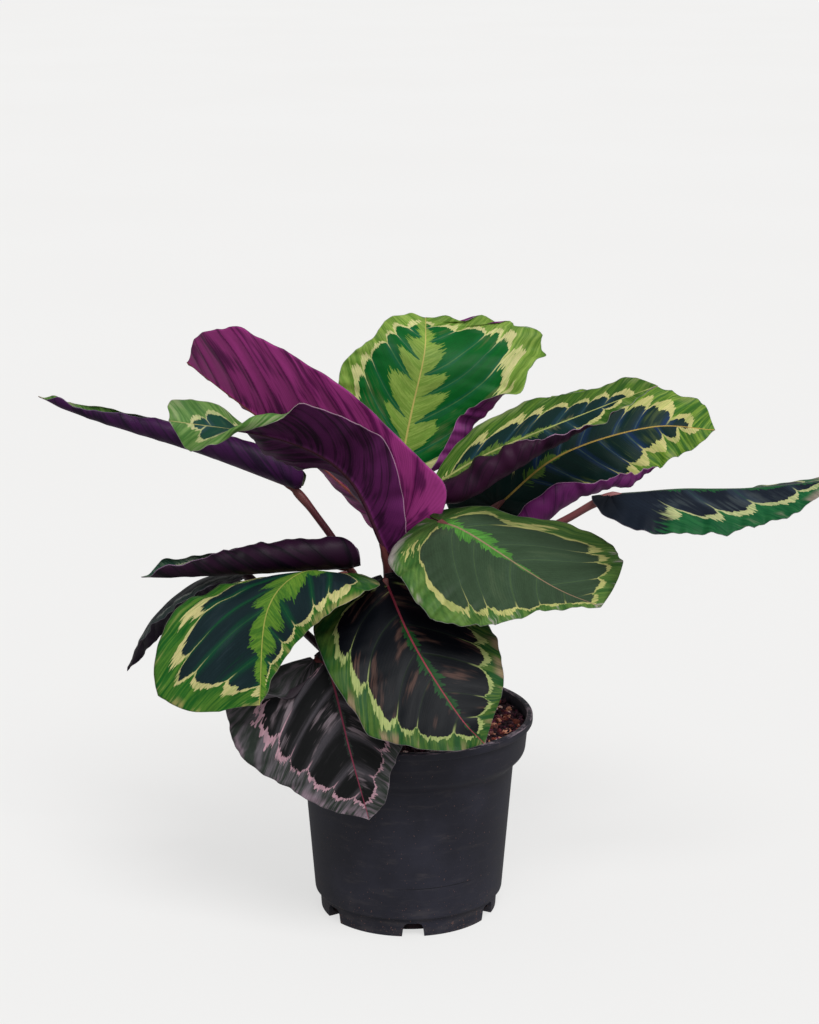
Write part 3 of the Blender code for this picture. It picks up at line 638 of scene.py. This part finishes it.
def upper_group():
    """The patterned upper side: dark centre, feathered flame on the rib, jagged pale band, green margin."""
    tree, b, given, result = new_group("patterned upper side", Upper._fields[:UPPER_COLOURS],
                                       [*Upper._fields[UPPER_COLOURS:], "seed"], SKIN_OUTPUTS)
    seed = given["Seed"]
    teeth, broad, drift, line, fine, arch, ring, side, tipward, vein, out, edge = blade_wires(b, seed)
    centred, slow = teeth - 0.5, broad - 0.5

    # centre: painted sheen in stripes along the side veins, brown streaks, a thin pale line on each main vein
    colour = b.mix(b.ramp(arch + slow * 1.3, 0.85, 0.1) * given["Stripes"], given["Centre"], given["Stripe"])
    colour = b.mix(b.ramp(drift + slow * 0.7, 0.56, 0.72) * given["Streaks"], colour, given["Streak"])
    colour = b.mix(line * given["Thin Lines"], colour, given["Margin Pale"])
    # margin: strokes of paler green, patches near the edge
    margin = b.mix(b.ramp(broad + centred * 0.4, 0.35, 0.68), given["Margin"], given["Margin Pale"])
    patch = b.ramp(drift + slow * 0.5, 0.5, 0.62) * b.ramp(edge, 7.0, 1.5)
    margin = b.mix(patch * given["Patches"], margin, given["Patch"])
    # the band bends in at each main vein; both its edges are jagged along the veins, the outer one more so
    place = ring - given["Band At"] + (1.0 - arch) * given["Scallop"] + (drift - 0.5) * 0.10
    width = given["Band Width"] * swing(drift, 2.6) * (arch * 0.8 + 0.3) * (slow * 2.4 + 1.1)
    inner = place + width + centred * 0.09 * given["Teeth"]
    outer = place - width + centred * 0.19 * given["Teeth"]
    colour = b.mix(b.ramp(place + centred * 0.12, -0.004, 0.010), colour, margin)
    cusp = b.ramp(place, -0.16, -0.01) * b.ramp(place, 0.03, 0.0) * line
    colour = b.mix(cusp * given["Lines"], colour, given["Band"])
    pale = b.mix(b.ramp(broad + centred, 0.42, 0.75) * 0.45, given["Band"], given["Margin Pale"])
    colour = b.mix(b.ramp(inner, -0.003, 0.005) * b.ramp(outer, 0.005, -0.003), colour, pale)
    # the flame: one pointed lobe between each two main veins, with fine teeth
    start = vein / PATTERN_LENGTH
    rise = b.ramp(start, given["Flame From"], given["Flame From"] + 0.3)
    fall = b.ramp(start, given["Flame To"], given["Flame To"] - 0.6)
    reach = given["Flame Reach"] * rise * fall * (arch**1.3 * 0.72 + 0.28)
    reach = reach + centred * b.math("MINIMUM", reach, 5.0) * 3.0
    flame = b.ramp(reach - out, -0.15, 0.30) * b.ramp(reach, 0.4, 1.6)
    lit = b.mix(b.ramp(broad + centred, 0.35, 0.65) * 0.65, given["Flame"], given["Margin"])
    colour = b.mix(flame, colour, lit)
    # the blade can be dark all over near its base
    dark_base = b.ramp(tipward + centred * 0.2, given["Dark Base"], given["Dark Base"] - 0.05)
    colour = b.mix(dark_base, colour, given["Centre"])
    # rib and margin line
    thick = tipward * -0.62 + 0.86
    colour = b.mix(b.ramp(out, thick, thick * 0.55), colour, given["Rib"])
    colour = b.mix(b.ramp(edge, 0.45, 0.12) * 0.6, colour, given["Edge"])
    # fine veins, mottling and drift in brightness over everything
    speck = b.noise(b.vector(vein * 1.3, out * 0.9, seed), 1.0, 3.0, 0.7)
    shade = swing(fine, 0.12) * swing(drift, 0.7) * swing(speck, 0.55) * swing(broad, 0.5)
    # painted shade: the blade is darkened near its base, where the crown shades it
    shade = shade * (b.ramp(tipward, 0.10, 0.0) * -0.6 + 1.0)
    # painted shade: the half at the left of the rib is darkened by Left Shade
    shade = shade * (1.0 - b.ramp(side, -0.3, -0.9) * given["Left Shade"])
    b.put(result["Color"], b.dim(colour, shade))
    b.put(result["Roughness"], broad * 0.22 + 0.38)
    pores = b.noise(b.vector(vein * 2.4, out * 1.6, seed), 1.0, 2.0, 0.6)
    b.put(result["Height"], fine * 0.35 - line + pores * 0.5)
    return tree


def under_group():
    """The wine-red underside: bloom, partly painted highlight, between dark side veins; a raised rib; a pale
    margin line.
    """
    tree, b, given, result = new_group("wine underside", Under._fields[:UNDER_COLOURS],
                                       [*Under._fields[UNDER_COLOURS:], "seed"], SKIN_OUTPUTS)
    seed = given["Seed"]
    _, broad, drift, line, fine, arch, _, _, tipward, vein, out, edge = blade_wires(b, seed)
    # bloom: partly the underside's own lighter colour, partly a painted highlight
    bloom = b.ramp(arch * 0.35 + broad * 0.7 + drift * 0.6, 0.62, 1.05)
    colour = b.mix(bloom * given["Bloom Share"], given["Ground"], given["Bloom"])
    # more of the same bloom near the base, also partly a painted highlight
    near_base = b.ramp(tipward + drift * 0.3, 0.62, 0.30)
    colour = b.mix(near_base * given["Base Bloom"], colour, given["Bloom"])
    dark = b.ramp(drift + (broad - 0.5) * 0.8, 0.52, 0.30)
    colour = b.mix(dark * 0.65, colour, given["Vein"])
    colour = b.mix(line * 0.55, colour, given["Vein"])
    thick = tipward * -0.8 + 1.35
    colour = b.mix(b.ramp(out, thick, thick * 0.5) * 0.85, colour, given["Rib"])
    colour = b.mix(b.ramp(edge, 0.6, 0.2) * 0.7, colour, given["Edge"])
    b.put(result["Color"], b.dim(colour, swing(fine, 0.14)))
    b.put(result["Roughness"], broad * 0.25 + 0.38)
    pores = b.noise(b.vector(vein * 2.0, out * 1.4, seed), 1.0, 2.0, 0.6)
    b.put(result["Height"], fine * 0.4 + line * 1.1 + pores * 0.45)
    return tree


def petiole_group():
    """Long fine ribs on a petiole, its colour turning from the soil up to the swollen joint."""
    tree, b, given, result = new_group("petiole skin", Petiole._fields, ["seed"], SKIN_OUTPUTS)
    run, around, joint = b.split(b.attribute("tube"))
    ridges = b.noise(b.vector(around * 9.0, run * 0.05, given["Seed"]), 1.0, 2.0, 0.6)
    drift = b.noise(b.vector(around * 1.2, run * 0.035, given["Seed"]), 1.0, 3.0, 0.55)
    colour = b.mix(b.ramp(drift + run * 0.004, 0.35, 0.85), given["Low"], given["High"])
    b.put(result["Color"], b.dim(b.mix(joint, colour, given["Joint"]), swing(ridges, 0.9)))
    b.put(result["Roughness"], ridges * 0.25 + 0.3)
    b.put(result["Height"], ridges)
    return tree


UPPER_SIDE = upper_group()
UNDERSIDE = under_group()
PETIOLE_SKIN = petiole_group()


def new_material(name, specular):
    """A material, its board and its Principled shader; shaders and plain numbers stay in the material."""
    material = bpy.data.materials.new(name)
    material.use_nodes = True
    shader = material.node_tree.nodes["Principled BSDF"]
    shader.inputs["Specular IOR Level"].default_value = specular
    return material, Board(material.node_tree), shader


def group_material(name, specular, tree, look, seed, relief):
    """A material that a group paints, fed with a look's own colours and amounts."""
    material, board, shader = new_material(name, specular)
    group = board.node("ShaderNodeGroup", node_tree=tree)
    for field, value in look._asdict().items():
        group.inputs[label(field)].default_value = tint(*value) if isinstance(value, tuple) else value
    group.inputs["Seed"].default_value = seed
    colour, roughness, height = [Wire(board, group.outputs[each]) for each in SKIN_OUTPUTS]
    board.put(shader.inputs["Base Color"], colour)
    board.put(shader.inputs["Roughness"], roughness)
    board.relief(shader, height, relief, 0.5)
    return material


def upper_material(name):
    return group_material(f"{name} upper side", 0.13, UPPER_SIDE, UPPER.get(name, PLAIN_UPPER),
                          WEAR[name].seed * SEED_STEP, 0.00012)


def under_material(name):
    return group_material(f"{name} underside", 0.15, UNDERSIDE, UNDER.get(name, PLAIN_UNDER),
                          WEAR[name].seed * SEED_STEP, 0.00016)


# ---------------------------------------------------------------- petioles
TUBE_SIDES = 20
TUBE_RINGS = 72
SHEATH = 3.2                  # radius at the soil
SHEATH_FADE = 30.0
NECK = 2.05                   # and at the middle
JOINT = 2.6                   # of the swollen joint below the blade
JOINT_LENGTH = 14.0
UNDER_RIB = 7.0               # how far the petiole runs on below the rib
END_TAPER = 9.0


def make_petiole(leaf, grid):
    """A petiole from the soil to the blade's rib: a sheath at its foot, a swollen joint at its head."""
    foot = np.array([*leaf.foot, SOIL_TOP + SOIL_MOUND + GAP])
    route = smooth_route([foot, foot + (0, 0, FOOT_RISE), *leaf.stem, leaf.rib[0]], TUBE_RINGS)
    ribs = grid["points"][:, COLUMNS] - grid["normal"][:, COLUMNS] * (WEAR[leaf.name].ridge * 0.75)
    extra = read_off(np.linspace(1.2, UNDER_RIB, 7), travelled(ribs), ribs)
    route = smooth_route([*route[:-2:6], *extra[::2]], TUBE_RINGS)
    run = travelled(route)
    left = run[-1] - run
    tangent = unit(np.gradient(route, axis=0))
    side = unit(np.cross(tangent, (0.3, -1.0, 0.2)))
    other = np.cross(tangent, side)
    radius = NECK + (SHEATH - NECK) * np.exp(-run / SHEATH_FADE)
    radius += (JOINT - NECK) * np.exp(-((left - JOINT_LENGTH * 0.8) / (JOINT_LENGTH * 0.5)) ** 2)
    radius *= np.clip(left / END_TAPER, 0.0, 1.0) ** 0.6 * 0.82 + 0.18
    angles = np.linspace(0, 2 * math.pi, TUBE_SIDES, endpoint=False)
    chance = np.random.default_rng(WEAR[leaf.name].seed + 100)
    wander = 1 + 0.05 * np.sin(3 * angles + 6 * chance.random())
    wander += 0.04 * np.sin(5 * angles + 6 * chance.random())
    furrow = 1 - 0.12 * np.exp(-((np.mod(angles + 1.2, 2 * math.pi) - math.pi) / 0.5) ** 2)
    shape = (wander * furrow)[None, :] * radius[:, None]
    points = (route[:, None] + side[:, None] * (np.cos(angles) * shape)[..., None]
              + other[:, None] * (np.sin(angles) * shape)[..., None])
    points[..., 2] = np.maximum(points[..., 2], SOIL_TOP + SOIL_MOUND + 0.02)
    faces = []
    for ring in range(TUBE_RINGS - 1):
        faces += strip(ring * TUBE_SIDES, (ring + 1) * TUBE_SIDES, TUBE_SIDES, flip=True)
    faces.append(tuple(range(TUBE_SIDES - 1, -1, -1)))
    faces.append(tuple((TUBE_RINGS - 1) * TUBE_SIDES + n for n in range(TUBE_SIDES)))
    skin = group_material(f"{leaf.name} petiole", 0.3, PETIOLE_SKIN, PETIOLES.get(leaf.name, PLAIN_PETIOLE),
                          float(WEAR[leaf.name].seed), 0.0002)
    item = build_mesh(f"{leaf.name}_petiole", (points.reshape(-1, 3) * MM).tolist(), faces, [skin],
                      np.zeros(len(faces)))
    joints = np.clip(1.2 * np.exp(-((left - JOINT_LENGTH * 0.6) / (JOINT_LENGTH * 0.8)) ** 2), 0, 1)
    add_vector(item.data, "tube", np.stack([np.repeat(run, TUBE_SIDES), np.tile(np.cos(angles), TUBE_RINGS),
                                            np.repeat(joints, TUBE_SIDES)], axis=1))
    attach(item, "root")
    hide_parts(f"stem_{leaf.name}")


def circle(radius, height, steps, turn=0.0):
    """Points on a level circle."""
    angles = [2 * math.pi * (n + turn) / steps for n in range(steps)]
    return [(radius * math.cos(angle), radius * math.sin(angle), height) for angle in angles]


def strip(a, c, steps, flip=False):
    """Four-sided faces between two circles, whose first points are number a and number c."""
    faces = [(a + n, c + n, c + (n + 1) % steps, a + (n + 1) % steps) for n in range(steps)]
    return [(p, s, r, q) for p, q, r, s in faces] if flip else faces


# ---------------------------------------------------------------- pot
RIM_RADIUS = 70.0
RIM_HEIGHT = 115.0
LIP_HEIGHT = 5.0
COLLAR_RADIUS = 67.4
COLLAR_TAPER = 1.6
COLLAR_BOTTOM = 94.0
BODY_TOP = 88.0
BODY_TOP_RADIUS = 59.4
BODY_BOTTOM_RADIUS = 53.2
FOOT_HEIGHT = 11.0
FOOT_RADIUS = 50.5
FLOOR = 3.0
WALL = 1.6
NOTCH_COUNT = 6
NOTCH_WIDTH = 11.0
NOTCH_HEIGHT = 8.0
NOTCH_DEPTH = 16.0
NOTCH_TURN = 33.0
POT_STEPS = 192


def rounded(profile, radii, steps=5):
    """A profile with each corner replaced by a small arc; radii gives the setback at each point."""
    result = [np.array(profile[0], float)]
    for before, corner, after, radius in zip(profile, profile[1:], profile[2:], radii[1:]):
        before, corner, after = (np.array(p, float) for p in (before, corner, after))
        a = corner + unit(before - corner) * radius
        c = corner + unit(after - corner) * radius
        for u in np.linspace(0, 1, steps):
            result.append((1 - u) ** 2 * a + 2 * u * (1 - u) * corner + u**2 * c)
    result.append(np.array(profile[-1], float))
    return result


def spun(name, profile, material, steps):
    """A closed solid of revolution from a profile that starts and ends on the axis."""
    profile = np.array(profile) * MM
    inner = profile[1:-1]
    points = [(0.0, 0.0, profile[0][1]), (0.0, 0.0, profile[-1][1])]
    for angle in np.linspace(0, 2 * math.pi, steps, endpoint=False):
        points += [(r * math.cos(angle), r * math.sin(angle), z) for r, z in inner]
    k = len(inner)
    faces = []
    for n in range(steps):
        here = 2 + n * k
        there = 2 + (n + 1) % steps * k
        faces.append((0, there, here))
        faces.append((1, here + k - 1, there + k - 1))
        faces += [(here + i, there + i, there + i + 1, here + i + 1) for i in range(k - 1)]
    return build_mesh(name, points, faces, [material], np.zeros(len(faces)))


def pot_material():
    material, b, shader = new_material("charcoal pot plastic", 0.25)
    place = b.position()
    x, y, z = b.split(place)
    turn = b.math("ARCTAN2", y, x)
    height = z * 1000.0
    cloud = b.noise(place, 28.0, 4.0, 0.6)
    colour = b.mix(b.ramp(cloud, 0.35, 0.75), tint(38, 38, 48), tint(50, 50, 62))
    # dust wiped on in long level smears, more of it low down
    smear = b.noise(b.vector(turn * 3.0, height * 0.22), 1.0, 5.0, 0.65)
    dust = b.ramp(smear + b.ramp(height, 34.0, 6.0) * 0.10, 0.52, 0.8) * 0.35
    colour = b.mix(dust, colour, tint(92, 86, 86))
    # dried soil specks, thickest round the foot
    spot = b.ramp(b.noise(place, 900.0, 1.0, 0.5) + b.ramp(height, 22.0, 2.0) * 0.07, 0.735, 0.77)
    colour = b.mix(spot * 0.8, colour, tint(112, 84, 80))
    # a handling crease part way round: a dent in the relief, its line darkened with painted shade
    crease_and_shade = b.ramp(abs(height - (b.math("SINE", turn * 2.0) * -0.6 + 30.0)), 0.55, 0.05)
    crease_and_shade = crease_and_shade * b.ramp(turn, -1.75, -1.5) * b.ramp(turn, -0.75, -1.0)
    colour = b.mix(crease_and_shade * 0.6, colour, tint(24, 24, 30))
    # a painted highlight: pale broken streaks on the lip's upper edge stand in for the glint on the rim
    painted_glint = b.ramp(b.noise(b.vector(turn * 6.0, height * 1.4), 1.0, 4.0, 0.7), 0.47, 0.62)
    colour = b.mix(painted_glint * b.ramp(height, 113.9, 114.6) * 0.75, colour, tint(168, 150, 160))
    b.put(shader.inputs["Base Color"], colour)
    b.put(shader.inputs["Roughness"], cloud * 0.25 + 0.42 + dust * 0.4)
    grain = b.noise(place, 1600.0, 2.0, 0.6)
    rings = b.math("SINE", height * (2 * math.pi / 0.9))
    b.relief(shader, grain * 0.5 + rings * 0.06 + spot * 1.5 - crease_and_shade * 2.0, 0.00012, 0.6)
    return material


def make_pot():
    inner_rim = COLLAR_RADIUS - WALL
    lip_bottom = RIM_HEIGHT - LIP_HEIGHT
    foot_in = FOOT_RADIUS - 2 * WALL
    shelf = FOOT_HEIGHT + WALL
    profile = [(0, FLOOR), (foot_in, FLOOR), (foot_in, shelf), (BODY_BOTTOM_RADIUS - WALL, shelf),
               (BODY_TOP_RADIUS - WALL, BODY_TOP), (inner_rim - COLLAR_TAPER, COLLAR_BOTTOM),
               (inner_rim, lip_bottom), (inner_rim + 0.8, RIM_HEIGHT), (RIM_RADIUS, RIM_HEIGHT),
               (RIM_RADIUS, lip_bottom + 0.4), (COLLAR_RADIUS, lip_bottom),
               (COLLAR_RADIUS - COLLAR_TAPER, COLLAR_BOTTOM), (BODY_TOP_RADIUS, BODY_TOP),
               (BODY_BOTTOM_RADIUS, FOOT_HEIGHT), (FOOT_RADIUS, FOOT_HEIGHT), (FOOT_RADIUS - 0.6, 0), (0, 0)]
    radii = [0, 1.0, 0.8, 0.8, 1.0, 1.0, 1.0, 0.9, 1.4, 1.2, 0.8, 2.6, 1.6, 1.6, 0.8, 0.7, 0]
    item = spun("nursery_pot", rounded(profile, radii), pot_material(), POT_STEPS)
    for number in range(NOTCH_COUNT):
        cutter = notch_cutter(math.radians(NOTCH_TURN + 360.0 / NOTCH_COUNT * number))
        cut = item.modifiers.new("notch", "BOOLEAN")
        cut.operation = "DIFFERENCE"
        cut.solver = "EXACT"
        cut.object = cutter
        bpy.context.view_layer.update()
        shape = bpy.data.meshes.new_from_object(item.evaluated_get(bpy.context.evaluated_depsgraph_get()))
        item.modifiers.clear()
        item.data = shape
        bpy.data.objects.remove(cutter, do_unlink=True)
    item.data.shade_smooth()
    item.modifiers.new("corners", "EDGE_SPLIT").split_angle = math.radians(32)
    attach(item, "root")
    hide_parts("pot")


def notch_cutter(turn):
    """A drainage slot: wider at the floor, with rounded upper corners, seen from outside."""
    half = NOTCH_WIDTH / 2
    shape = [(-half - 1.0, -2.0), (half + 1.0, -2.0), (half, NOTCH_HEIGHT - 2.4),
             (half - 0.8, NOTCH_HEIGHT - 0.8), (half - 2.4, NOTCH_HEIGHT), (2.4 - half, NOTCH_HEIGHT),
             (0.8 - half, NOTCH_HEIGHT - 0.8), (-half, NOTCH_HEIGHT - 2.4)]
    points = []
    for reach in (FOOT_RADIUS - NOTCH_DEPTH, FOOT_RADIUS + NOTCH_DEPTH):
        for across, height in shape:
            points.append(((reach * math.cos(turn) - across * math.sin(turn)) * MM,
                           (reach * math.sin(turn) + across * math.cos(turn)) * MM, height * MM))
    k = len(shape)
    faces = [tuple(range(k - 1, -1, -1)), tuple(range(k, 2 * k))]
    faces += [(n, (n + 1) % k, (n + 1) % k + k, n + k) for n in range(k)]
    return build_mesh("slot tool", points, faces, [], np.zeros(len(faces)), smooth=False)


# ---------------------------------------------------------------- soil
CRUMBS = 2200
SOIL_RINGS = 40
SOIL_STEPS = 96
SOIL_SEED = 31


def soil_material():
    material, b, shader = new_material("potting mix", 0.2)
    place = b.position()
    pick, bright, _ = b.split(b.attribute("crumb"))
    noise = b.noise(place, 420.0, 4.0, 0.7)
    colour = b.mix(b.ramp(noise, 0.35, 0.7), tint(22, 13, 22), tint(86, 52, 62))
    for low, high, kind in ((0.40, 0.44, (140, 74, 62)), (0.60, 0.64, (104, 48, 72)),
                            (0.78, 0.80, (222, 156, 126)), (0.93, 0.94, (240, 214, 200))):
        colour = b.mix(b.ramp(pick, low, high), colour, tint(*kind))
    # painted shade: the soil below its surface, seen through the pot's slots, is darkened
    painted_shade_below = b.ramp(b.split(place)[2], 0.105, 0.095)
    lit = bright * (noise * 1.6 + 0.32) * (painted_shade_below * -0.8 + 1.0)
    b.put(shader.inputs["Base Color"], b.dim(colour, lit))
    b.put(shader.inputs["Roughness"], noise * 0.25 + 0.68)
    b.relief(shader, b.noise(place, 900.0, 3.0, 0.6), 0.0006, 1.0)
    return material


def soil_height(x, y):
    """Height of the soil's surface, in mm, level near the middle and sloping to the wall."""
    slope = (np.hypot(x, y) - SOIL_SLOPE_START) / (SOIL_SLOPE_END - SOIL_SLOPE_START)
    return SOIL_TOP + SOIL_MOUND * (1 - np.clip(slope, 0, 1))


def make_soil():
    """The body of soil with a rough surface, and crumbs of bark, peat and perlite lying on it."""
    chance = np.random.default_rng(SOIL_SEED)
    edge = COLLAR_RADIUS - WALL - GAP - 0.55
    points = [(0.0, 0.0, SOIL_TOP + SOIL_MOUND)]
    for ring in range(1, SOIL_RINGS + 1):
        for x, y, _ in circle(edge * ring / SOIL_RINGS, 0.0, SOIL_STEPS, 0.5 * (ring % 2)):
            rough = 0.4 * chance.normal() if 2 < ring < SOIL_RINGS else -0.5
            points.append((x, y, float(soil_height(x, y)) - 0.3 + rough))
    faces = [(0, 1 + n, 1 + (n + 1) % SOIL_STEPS) for n in range(SOIL_STEPS)]
    inside = WALL + GAP
    shelf = FOOT_HEIGHT + inside
    bottom = [(COLLAR_RADIUS - COLLAR_TAPER - inside, COLLAR_BOTTOM), (BODY_TOP_RADIUS - inside, BODY_TOP),
              (BODY_BOTTOM_RADIUS - inside, shelf), (FOOT_RADIUS - WALL - inside, shelf),
              (FOOT_RADIUS - WALL - inside, FLOOR + GAP)]
    for radius, height in bottom:
        points += circle(radius, height, SOIL_STEPS)
    circles = [1 + k * SOIL_STEPS for k in range(SOIL_RINGS + len(bottom))]
    for a, c in zip(circles, circles[1:]):
        faces += strip(a, c, SOIL_STEPS)
    points.append((0.0, 0.0, FLOOR + GAP))
    last = len(points) - 1
    faces += [(circles[-1] + n, last, circles[-1] + (n + 1) % SOIL_STEPS) for n in range(SOIL_STEPS)]
    marks = [(0.2, 0.8, 0.0)] * len(points)
    lump, lump_faces = crumb_shape()
    for _ in range(CRUMBS):
        r = math.sqrt(chance.random()) * (edge - 1.2)
        angle = 2 * math.pi * chance.random()
        size = 0.6 + 1.5 * chance.random() ** 1.8
        r = min(r, edge - size)
        x, y = r * math.cos(angle), r * math.sin(angle)
        shape = lump * (size * (1 + 0.3 * chance.normal(size=3).clip(-1, 1)))
        shape = shape * (1 + 0.16 * chance.normal(size=(len(shape), 1)).clip(-1.5, 1.5))
        shape = shape @ random_turn(chance)
        shape[:, 2] *= 0.75
        shape = shape + (x, y, float(soil_height(x, y)) - 0.1 + 0.25 * size * chance.random())
        begin = len(points)
        points += shape.tolist()
        faces += [[begin + i for i in face] for face in lump_faces]
        marks += [(float(chance.random()), 0.55 + 0.7 * float(chance.random()), 0.0)] * len(shape)
    item = build_mesh("potting_soil", [(x * MM, y * MM, z * MM) for x, y, z in points], faces,
                      [soil_material()], np.zeros(len(faces)), smooth=False)
    add_vector(item.data, "crumb", np.array(marks))
    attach(item, "root")
    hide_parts("soil")


def crumb_shape():
    """Points and faces of a rounded lump with a radius of 1."""
    shape = bmesh.new()
    bmesh.ops.create_icosphere(shape, subdivisions=2, radius=1.0)
    points = np.array([v.co for v in shape.verts])
    faces = [[v.index for v in f.verts] for f in shape.faces]
    shape.free()
    return points, faces


def random_turn(chance):
    """A random rotation as a 3 by 3 matrix."""
    q = chance.normal(size=4)
    w, x, y, z = q / np.linalg.norm(q)
    return np.array([[1 - 2 * (y * y + z * z), 2 * (x * y - w * z), 2 * (x * z + w * y)],
                     [2 * (x * y + w * z), 1 - 2 * (x * x + z * z), 2 * (y * z - w * x)],
                     [2 * (x * z - w * y), 2 * (y * z + w * x), 1 - 2 * (x * x + y * y)]])


# ---------------------------------------------------------------- studio
SKY = 0.38                    # light from all round
BACKDROP = 0.955              # and how bright the eye sees it
PAPER_GLOW = 0.17
PAPER_GLOW_SEEN = 0.50        # what the eye sees above that
FLOOR_HALF = 20.0             # metres
SUNS = (("key", 1.9, 30.0, (33.0, 12.0, 0.0)),          # name, strength, softness and turn
        ("front", 0.45, 70.0, (66.0, 0.0, 25.0)))
CAMERA_PLACE = (0.0, -1.322, 0.575)
CAMERA_TILT = 75.405
LENS = 87.12
SENSOR = 36.0
SHIFT = 0.001


def make_studio():
    scene = bpy.context.scene
    scene.view_settings.view_transform = "Standard"
    scene.view_settings.look = "None"
    world = bpy.data.worlds.new("studio")
    world.use_nodes = True
    board = Board(world.node_tree)
    back = world.node_tree.nodes["Background"]
    back.inputs["Color"].default_value = (0.93, 0.925, 0.92, 1.0)
    board.put(back.inputs["Strength"], board.math("MULTIPLY_ADD", board.camera_ray(), BACKDROP - SKY, SKY))
    scene.world = world
    corners = [(-FLOOR_HALF, -FLOOR_HALF, 0.0), (FLOOR_HALF, -FLOOR_HALF, 0.0), (FLOOR_HALF, FLOOR_HALF, 0.0),
               (-FLOOR_HALF, FLOOR_HALF, 0.0)]
    floor = build_mesh("floor", corners, [(0, 1, 2, 3)], [floor_material()], [0], smooth=False)
    for name, strength, softness, turn in SUNS:
        light = bpy.data.lights.new(name, "SUN")
        light.energy = strength
        light.angle = math.radians(softness)
        item = bpy.data.objects.new(name, light)
        item.rotation_euler = [math.radians(value) for value in turn]
        scene.collection.objects.link(item)
    camera = bpy.data.cameras.new("camera")
    camera.lens = LENS
    camera.sensor_width = SENSOR
    camera.shift_x = SHIFT
    view = bpy.data.objects.new("camera", camera)
    view.location = CAMERA_PLACE
    view.rotation_euler = (math.radians(CAMERA_TILT), 0.0, 0.0)
    scene.collection.objects.link(view)
    scene.camera = view


def floor_material():
    """Pale paper that glows a little, more for the eye than for the plant, so shadows on it stay light."""
    material, b, shader = new_material("pale floor", 0.0)
    shader.inputs["Roughness"].default_value = 0.9
    grain = b.noise(b.position(), 1.5, 2.0, 0.5)
    b.put(shader.inputs["Base Color"], b.mix(grain, (0.242, 0.24, 0.237, 1.0), (0.25, 0.248, 0.246, 1.0)))
    b.put(shader.inputs["Emission Color"], b.mix(grain, (0.98, 0.975, 0.965, 1.0), (1.0, 1.0, 0.995, 1.0)))
    b.put(shader.inputs["Emission Strength"],
          b.math("MULTIPLY_ADD", b.camera_ray(), PAPER_GLOW_SEEN, PAPER_GLOW))
    return material


for leaf in LEAVES:
    make_petiole(leaf, make_blade(leaf))
make_pot()
make_soil()
make_studio()
